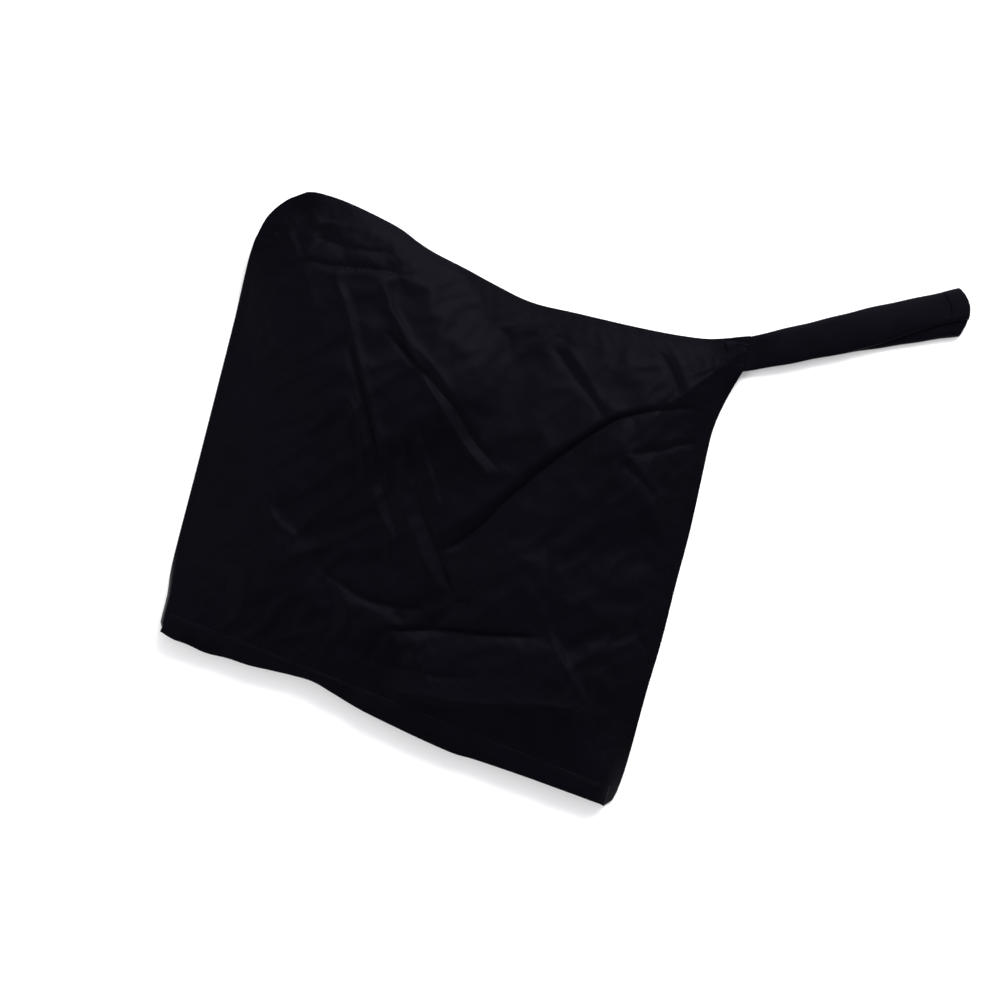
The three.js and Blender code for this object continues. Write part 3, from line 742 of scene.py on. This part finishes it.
class BAG_OT_body_cloth(bpy.types.Operator):
    """Front and back of the outer bag"""

    bl_idname = "changing_bag.body_cloth"
    bl_label = "Body cloth"

    def execute(self, context):
        s = sizes()
        x, y = plan_grid(s.across, s.up)
        z = front_surface(x, y)
        x, y, z = (flat + widened(move, *x.shape)
                   for flat, move in zip((x, y, z), settled()))
        front = panel("front_cloth", x, y, z, "shell cloth", s.cloth)
        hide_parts("outer_front_panel")
        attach(front, "bag_body")

        x, y = plan_grid(s.across * 2 // 3, s.up * 2 // 3)
        gap = edge_distances(x, y)
        drawn = (seam_pucker(x, y, gap) * 0.5 + ripple(x, y, 40, 9) * 0.35) * smooth(
            underside(x, y) / 4)
        z = underside(x, y) + BACK_REST + 0.25 * (1 + ripple(x, y, 55, 8)) + np.maximum(drawn, -0.2)
        back = panel("back_cloth", x, y, z, "shell cloth", s.cloth, turned=True)
        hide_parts("outer_back_panel")
        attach(back, "bag_body")
        return {"FINISHED"}


class BAG_OT_lining(bpy.types.Operator):
    """The separate lining bag inside the outer one"""

    bl_idname = "changing_bag.lining"
    bl_label = "Lining bag"

    def execute(self, context):
        s = sizes()
        x, y = plan_grid(120, 110, (0.03, 0.97), (0.085, 0.97))
        gap = edge_distances(x, y)
        low = underside(x, y) + LINING_REST
        high = low + LINING_GAP
        under = mix(*LINING_DEPTHS, smooth((y + 152) / 26))
        room = np.maximum(front_surface(x, y) - under - high, 0)
        front_z = high + room * smooth((to_seams(gap) - 6) / 23)
        for name, z, node, over in (
            ("front_lining_cloth", front_z, "lining_front_panel", "back_lining_cloth"),
            ("back_lining_cloth", low, "lining_back_panel", "back_cloth"),
        ):
            piece = panel(name, x, y, z, "lining cloth", s.lining)
            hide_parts(node)
            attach(piece, "bag_body")
        return {"FINISHED"}


FLAP_SEAM_Y = -184.5
FLAP_ENDS_X = (-187.5, 238.0)
FLAP_DROP = np.array([0.05, 0.16, 0.34, 0.58, 0.85])  # of its last rows, into the seam
FLAP_EDGE = [(-189, -203.5), (-176, -205.8), (-163, -205.4), (-144, -206.6), (-124, -203.8),
             (-104, -202.6), (-84, -199.5), (-64, -196.6), (-45, -195), (-24, -198.2),
             (-5, -201.6), (15, -203.8), (55, -206.8), (94, -208.6), (114, -206.8),
             (154, -204.6), (194, -203.3), (230, -202.6), (239.6, -203.6)]


def flap_surface(x, y):
    """Height of the flap's cloth, which lies on the front and droops past its edge."""
    held = np.maximum(y, -194.0)
    past = np.maximum(-195.0 - y, 0)
    edge = nearest(x, y, curve(FLAP_EDGE, 60))[0]
    flutter = 0.5 * np.sin(x / 9.5 + 1.4 * np.sin(x / 31)) * np.exp(-np.abs(edge) / 7)
    return front_surface(x, held) + 0.64 - 2.6 * smooth(past / 16) + flutter


class BAG_OT_zip_flap(bpy.types.Operator):
    """The flap of cloth that overhangs the outer zip"""

    bl_idname = "changing_bag.zip_flap"
    bl_label = "Zip flap"

    def execute(self, context):
        low = curve(FLAP_EDGE, 260)
        seam_x = mix(*FLAP_ENDS_X, np.linspace(0, 1, len(low)))
        share = np.linspace(0, 1, 16)[:, None]
        x = mix(low[None, :, 0], seam_x[None, :], share)
        y = mix(low[None, :, 1], FLAP_SEAM_Y, share)
        z = flap_surface(x, y)
        z[-len(FLAP_DROP):] -= FLAP_DROP[:, None]
        flap = panel("flap_cloth", x, y, z, "shell cloth", sizes().cloth * 1.3)
        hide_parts("zip_flap")
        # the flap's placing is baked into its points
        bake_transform(flap)

        lines = []
        for inset, lift in ((0.12, 0.45), (0.78, 0.39)):
            sx = mix(low[3:-3, 0], seam_x[3:-3], inset)
            sy = mix(low[3:-3, 1], FLAP_SEAM_Y, inset)
            lines.append(stitches(row(np.column_stack([sx, sy, flap_surface(sx, sy) + lift]))))
        thread = mesh_piece("flap_stitching", *gather(lines), "thread")
        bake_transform(thread)
        return {"FINISHED"}


class BAG_OT_seam_stitching(bpy.types.Operator):
    """Two rows of stitches along each seam of the outer bag"""

    bl_idname = "changing_bag.seam_stitching"
    bl_label = "Seam stitching"

    def execute(self, context):
        rows = []
        inward = {"left": -1, "top": -1, "right": 1}
        for name, side in inward.items():
            line = SEAMS[name]
            along = unit(np.gradient(line, axis=0))
            across = np.column_stack([-along[:, 1], along[:, 0]]) * side
            for inset in (3.2, 5.6):
                spot = (line + across * inset)[4:-4]
                z = front_surface(spot[:, 0], spot[:, 1]) + 0.3
                rows.append(stitches(row(np.column_stack([spot, z]))))
        thread = mesh_piece("seam_stitching", *gather(rows), "thread")
        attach(thread, "bag_body")
        return {"FINISHED"}


# ------------------------------------------------------------------ sleeves


def folded_tube(width, laps, level, spread, samples=9):
    """One cross-section of a flattened tube that is folded lengthwise. laps is a list of
    (start, end) places across it, as shares of half the width, and each lap lies over the
    last. Points are (across, up), and the loop is closed."""
    line = []
    turn = level / 2
    for k, (a, b) in enumerate(laps):
        way = math.copysign(1, b - a)
        first = a * width / 2 + (way * turn if k else 0)
        last = b * width / 2 - (way * turn if k < len(laps) - 1 else 0)
        line += [(v, k * level) for v in np.linspace(first, last, samples)]
        if k < len(laps) - 1:
            for t in np.linspace(0, math.pi, 7)[1:-1]:
                line.append((last + way * turn * math.sin(t),
                             k * level + turn * (1 - math.cos(t))))
    line = np.array(line)
    along = unit(np.gradient(line, axis=0))
    normal = np.column_stack([-along[:, 1], along[:, 0]])
    caps = []
    for spot, way in ((line[-1], along[-1]), (line[0], -along[0])):
        out = math.atan2(way[1], way[0])
        caps.append([spot + spread * np.array([math.cos(out + t), math.sin(out + t)])
                     for t in (math.pi / 4, 0, -math.pi / 4)])
    return np.vstack([line + spread * normal, caps[0],
                      (line - spread * normal)[::-1], caps[1]])


def beside_sleeve(sleeve, run, across):
    """X and Y in the bag's plan of a place along and across a sleeve."""
    a = math.radians(sleeve["angle"])
    x = sleeve["root"][0] + run * math.cos(a) - across * math.sin(a)
    y = sleeve["root"][1] + run * math.sin(a) + across * math.cos(a)
    return x, y


RIGHT_LEVEL = 3.3  # from one lap to the next


def right_section(s, spread):
    """The right sleeve's cross-section at a distance from its armhole: folded in three, with
    the last lap drawn back from the lower edge towards the cuff."""
    width = mix(*RIGHT_WIDTHS, np.clip(s / SLEEVE_LENGTH, 0, 1)) - 2 * spread + 0.6
    width += 0.5 * math.sin(s / 17) + 0.4 * math.sin(s / 6.3 + 1)
    drawn = float(smooth((s - 84) / 110)) * 0.68
    loop = folded_tube(width, [(1, -1), (-1, 1), (1, -1 + drawn)], RIGHT_LEVEL, spread)
    loop[:, 1] += 1.9
    return loop


def right_place(s, loop):
    """Points of a cross-section of the right sleeve, in the bag's plan."""
    across = loop[:, 0] + 2.8 * float(smooth(s / 130))
    ahead = s + float(smooth((s - 120) / 83)) * (6.0 - 0.021 * (across - 7) ** 2)
    sway = ripple(np.full(len(loop), s), across, 27, 11) * 0.5
    sway += ripple(np.full(len(loop), s * 0.4), across, 6.5, 12) * 0.4 * math.exp(-max(s, 0) / 45)
    full = mix(0.8, 1.0, float(smooth((s + 6) / 34))) + 0.05 * math.sin(s / 23)
    crown = 1.7 * np.clip(1 - (loop[:, 0] / 19) ** 2, 0, 1) * float(smooth((s - 4) / 40))
    up = loop[:, 1] * full + (sway + crown) * np.clip(loop[:, 1] / 6, 0.0, 1)
    return np.column_stack([*beside_sleeve(RIGHT, ahead, across), np.maximum(up, 0.45)])


def loft(name, stations, place, section, material, thickness, ripples=None):
    """A tube of cloth through cross-sections at the given distances."""
    rings = np.array([place(s, section(s)) for s in stations])
    if ripples is not None:
        rings = ripples(stations, rings)
    faces = grid_faces(len(stations), rings.shape[1], around=True)
    piece = mesh_piece(name, row(rings.reshape(-1, 3)), faces, material)
    thicken(piece, thickness, offset=-1.0)
    return piece


CUFF_START = 188.0
GATHER_START, GATHER_RUN = CUFF_START - 26, 30
GATHER_BEATS = 38  # ripples round a cuff


def gathered(size):
    """Ripples of the given size round a cuff, where the elastic draws the cloth in."""
    def apply(stations, rings):
        count = rings.shape[1]
        around = np.arange(count) / count * 2 * math.pi
        ahead, back = np.roll(rings, -1, axis=1), np.roll(rings, 1, axis=1)
        run = np.gradient(rings, axis=0)
        normal = np.cross(run, ahead - back)
        normal /= np.linalg.norm(normal, axis=2)[..., None] + 1e-9
        grow = smooth((np.asarray(stations) - GATHER_START) / GATHER_RUN)
        wave = np.sin(around * GATHER_BEATS + 0.8 * np.sin(around * 5))
        return rings + normal * (size * grow[:, None] * wave[None, :])[..., None]
    return apply


def build_sleeve(side, start, place, section, shell):
    """The cloth, lining, hem and elastic of one sleeve, bending out of the armhole."""
    body = f"{side}_sleeve"
    cloth, lining = sizes().cloth, sizes().lining
    root = np.arange(start, 40, 1.6)
    rest = np.arange(root[-1] + 3, CUFF_START + 1, 3.2)
    stations = np.concatenate([root, rest, [CUFF_START + 1]])
    ends = np.linspace(CUFF_START - 1.5, SLEEVE_LENGTH, 14)
    outer = loft(f"{side}_sleeve_cloth", stations, place, lambda s: section(s, 0.95),
                 shell, cloth, gathered(0.34))
    inner = loft(f"{side}_sleeve_lining_cloth", stations[::2], place,
                 lambda s: section(s, 0.42), "lining cloth", lining)
    hem = loft(f"{side}_cuff_hem_cloth", ends, place, lambda s: section(s, 1.2),
               shell, cloth * 1.2, gathered(0.38))
    band = loft(f"{side}_cuff_elastic_band", ends[2:-3], place, lambda s: section(s, 0.7),
                "cuff elastic", cloth)
    for piece, node, slot_name in (
        (outer, "sleeve_outer", "shell_cloth"), (inner, "sleeve_lining", "lining_cloth"),
        (hem, "cuff_hem", "shell_cloth"), (band, "cuff_elastic", "cuff_elastic"),
    ):
        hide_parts(f"{side}_{node}")
    for piece in (hem, band):
        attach(piece, body)
    for piece in (outer, inner):
        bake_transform(piece)
    return outer, inner


class BAG_OT_right_sleeve(bpy.types.Operator):
    """The right sleeve, drawn out straight and folded lengthwise in three"""

    bl_idname = "changing_bag.right_sleeve"
    bl_label = "Right sleeve"

    def execute(self, context):
        outer, inner = build_sleeve(
            "right", -13.0, right_place, right_section, "right sleeve cloth")
        return {"FINISHED"}


LEFT_LEVEL = 3.0  # from one lap to the next


def left_section(s, spread):
    """The left sleeve's cross-section: flattened, with one edge lapped over."""
    width = 2 * float(left_sleeve_half(s)) - 3.0 - 2 * spread
    if s < 16:
        width = mix(44.0, width, float(smooth((s + 20) / 36)))
    lap = mix(-0.62, 0.30, float(smooth(s / 60)))
    loop = folded_tube(width, [(1, -1), (-1, lap)], LEFT_LEVEL, spread, samples=22)
    loop[:, 1] -= LEFT_LEVEL / 2
    return loop


def left_place(s, loop):
    """Points of a cross-section of the left sleeve. It leaves the armhole above the back,
    turns down over the edge, and lies under the bag."""
    radius, turn_at, upper = 5.6, 2.6, 15.8
    bend = math.pi * radius
    sway = ripple(np.full(len(loop), s), loop[:, 0], 30, 21) * 0.6
    pleat = 0.8 * np.sin(loop[:, 0] / 1.9) * math.exp(-(max(s, -18) + 18) / 26)
    off = loop[:, 1] + sway * 0.5 + pleat
    if s < -bend:
        out, up, nx, nz = -(s + bend) + turn_at, upper, 0.0, 1.0
    elif s < 0:
        t = (s + bend) / radius
        out, up = turn_at - radius * math.sin(t), upper - radius * (1 - math.cos(t))
        nx, nz = -math.sin(t), math.cos(t)
    else:
        out, up, nx, nz = turn_at + s, upper - 2 * radius, 0.0, -1.0
    across = loop[:, 0]
    rounded = 5.5 * (across / 23) ** 2 * float(1 - smooth(s / 30))
    run = out + off * nx + rounded
    z = np.maximum(up + off * nz, 0.5)
    return np.column_stack([*beside_sleeve(LEFT, run, across), z])


class BAG_OT_left_sleeve(bpy.types.Operator):
    """The left sleeve, folded back under the bag"""

    bl_idname = "changing_bag.left_sleeve"
    bl_label = "Left sleeve"

    def execute(self, context):
        outer, inner = build_sleeve(
            "left", -34.0, left_place, left_section, "left sleeve cloth")
        return {"FINISHED"}


# ------------------------------------------------------------------ zips


COIL_RADIUS = 0.00036  # metres


def coil(node, side):
    """Points and faces of one half of a zip's coil, wound along X."""
    low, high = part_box(node)
    pitch = sizes().coil_pitch
    turns = (high[0] - low[0]) / pitch
    t = np.arange(0, turns * 2 * math.pi, 2 * math.pi / 11)
    middle_z = (low[2] + high[2]) / 2
    tall = (high[2] - low[2]) / 2 + 0.00012
    deep = (high[1] - low[1]) / 2 - 0.0001
    x = low[0] + t / (2 * math.pi) * pitch + (0 if side > 0 else pitch / 2)
    z = middle_z + tall * np.cos(t) * 0.93
    y = (low[1] + high[1]) / 2 + deep * np.sin(t) * 0.8
    return swept(np.column_stack([x, y, z]), COIL_RADIUS)


def tape(node, side):
    """Points and faces of a zip tape: a woven band with a corded inner edge."""
    low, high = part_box(node)
    steps = np.linspace(low[0], high[0], 150)
    inner, outer = (low[2], high[2]) if side > 0 else (high[2], low[2])
    face, back = low[1], high[1]
    cord = 0.0004 * side
    profile = [(face - 0.0001, inner + cord * 0.4), (face - 0.0003, inner + cord),
               (face - 0.0001, inner + cord * 2.2), (face + 0.0001, inner + cord * 3.4),
               (face + 0.00006, outer - cord * 2), (face + 0.0002, outer),
               (back - 0.0002, outer), (back - 0.00006, outer - cord * 2),
               (back - 0.0001, inner + cord * 3), (back, inner + cord * 1.2),
               (back - 0.0002, inner)]
    rings = []
    for x in steps:
        wave = 0.00012 * math.sin(x * 210) + 0.0001 * math.sin(x * 95 + 1)
        rings.append([(x, y + wave, z) for y, z in profile])
    rings = np.array(rings)
    count = len(profile)
    faces = [tuple(f) for f in grid_faces(len(steps), count, around=True)]
    faces.append(tuple(range(count)))
    faces.append(tuple(range(len(steps) * count - 1, (len(steps) - 1) * count - 1, -1)))
    return rings.reshape(-1, 3), faces


class BAG_OT_zips(bpy.types.Operator):
    """The tapes, coils, sliders, pulls and stops of both zips"""

    bl_idname = "changing_bag.zips"
    bl_label = "Zips"

    def execute(self, context):
        for name in ("outer_zip", "inner_zip"):
            for half, side in (("front", 1), ("back", -1)):
                band = mesh_piece(f"{name}_{half}_tape_cloth", *tape(f"{name}_{half}_tape", side),
                                  "zip tape")
                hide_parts(f"{name}_{half}_tape")
                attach(band, "bag_body")
                wound = mesh_piece(f"{name}_{half}_coil", *coil(f"{name}_{half}_teeth", side),
                                   "zip coil")
                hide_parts(f"{name}_{half}_teeth")
                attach(wound, "bag_body")
            for part in ("slider", "pull", "closed_stop", "open_stop"):
                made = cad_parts[f"{name}_{part}"]
                made.data.materials.clear()
                made.data.materials.append(finish("zip metal"))
                edge = made.modifiers.new("rounded edges", "BEVEL")
                edge.width = 0.00028
                edge.segments = 3
                edge.limit_method = "ANGLE"
                edge.angle_limit = math.radians(35)
        return {"FINISHED"}


# ------------------------------------------------------------------ stage


# Each light's place in metres, its size across, its watts and its colour. All face the bag.
LIGHTS = [
    ("key light", (0.16, 1.62, 1.15), 1.3, 54, (1.0, 0.99, 1.0)),
    ("fill light", (-0.3, 2.2, 2.3), 1.6, 20, (0.93, 0.95, 1.0)),
    ("low light", (-1.9, -1.0, 2.1), 1.8, 26, (1.0, 1.0, 1.0)),
]
FLOOR_REACH = 6.0  # metres
VIEW_WIDTH, VIEW_MIDDLE, VIEW_TURN = 0.904, (-0.0248, -0.0499), 21.6  # metres and degrees


class BAG_OT_stage(bpy.types.Operator):
    """Pale floor, soft studio lights and the camera straight above"""

    bl_idname = "changing_bag.stage"
    bl_label = "Floor, lights and camera"

    def execute(self, context):
        scene = context.scene
        floor_mesh = bpy.data.meshes.new("floor")
        corners = ((-1, -1), (1, -1), (1, 1), (-1, 1))
        floor_mesh.from_pydata([(FLOOR_REACH * x, FLOOR_REACH * y, -0.0004) for x, y in corners],
                               [], [(0, 1, 2, 3)])
        floor = bpy.data.objects.new("floor", floor_mesh)
        scene.collection.objects.link(floor)
        made = Finish("floor paint")
        made.colour(made.noise(made.place, 2.0), tint(colours().floor, 0.995), colours().floor)
        made.set(Roughness=0.9, Specular_IOR_Level=0.1)
        floor_mesh.materials.append(made.material)

        for name, place, size, power, colour in LIGHTS:
            light = bpy.data.lights.new(name, "AREA")
            light.shape, light.size, light.energy, light.color = "DISK", size, power, colour
            lamp = bpy.data.objects.new(name, light)
            lamp.location = place
            lamp.rotation_euler = Vector(place).to_track_quat("Z", "Y").to_euler()
            scene.collection.objects.link(lamp)
        world = bpy.data.worlds.new("studio")
        world.use_nodes = True
        sky = world.node_tree.nodes["Background"].inputs
        sky["Color"].default_value = (0.98, 0.98, 1, 1)
        sky["Strength"].default_value = 0.74
        scene.world = world
        scene.view_settings.view_transform = "Standard"

        camera = bpy.data.objects.new("camera", bpy.data.cameras.new("camera"))
        camera.data.lens = 85
        away = VIEW_WIDTH * camera.data.lens / camera.data.sensor_width
        camera.location = (*VIEW_MIDDLE, away)
        camera.rotation_euler = (0, 0, math.radians(VIEW_TURN))
        camera.data.clip_end = 50
        scene.collection.objects.link(camera)
        scene.camera = camera
        return {"FINISHED"}


STEPS = (BAG_OT_stage, BAG_OT_body_cloth, BAG_OT_lining, BAG_OT_zip_flap,
         BAG_OT_seam_stitching, BAG_OT_right_sleeve, BAG_OT_left_sleeve, BAG_OT_zips)


class BAG_PT_panel(bpy.types.Panel):
    """Sizes, colours and the steps that build the bag"""

    bl_idname = "BAG_PT_panel"
    bl_label = "Film changing bag"
    bl_space_type = "VIEW_3D"
    bl_region_type = "UI"
    bl_category = "Changing bag"

    def draw(self, context):
        for title, group in (("Sizes", sizes()), ("Colours", colours())):
            self.layout.label(text=title)
            for name in group.__annotations__:
                self.layout.prop(group, name)
        self.layout.label(text="Build")
        for step in STEPS:
            self.layout.operator(step.bl_idname)


CLASSES = (BagSizes, BagColours, *STEPS, BAG_PT_panel)


def register():
    for one in CLASSES:
        bpy.utils.register_class(one)
    bpy.types.Scene.changing_bag_sizes = bpy.props.PointerProperty(type=BagSizes)
    bpy.types.Scene.changing_bag_colours = bpy.props.PointerProperty(type=BagColours)


def unregister():
    del bpy.types.Scene.changing_bag_sizes
    del bpy.types.Scene.changing_bag_colours
    for one in reversed(CLASSES):
        bpy.utils.unregister_class(one)


def main():
    register()
    for step in STEPS:
        group, name = step.bl_idname.split(".")
        getattr(getattr(bpy.ops, group), name)()


if __name__ == "__main__":
    main()
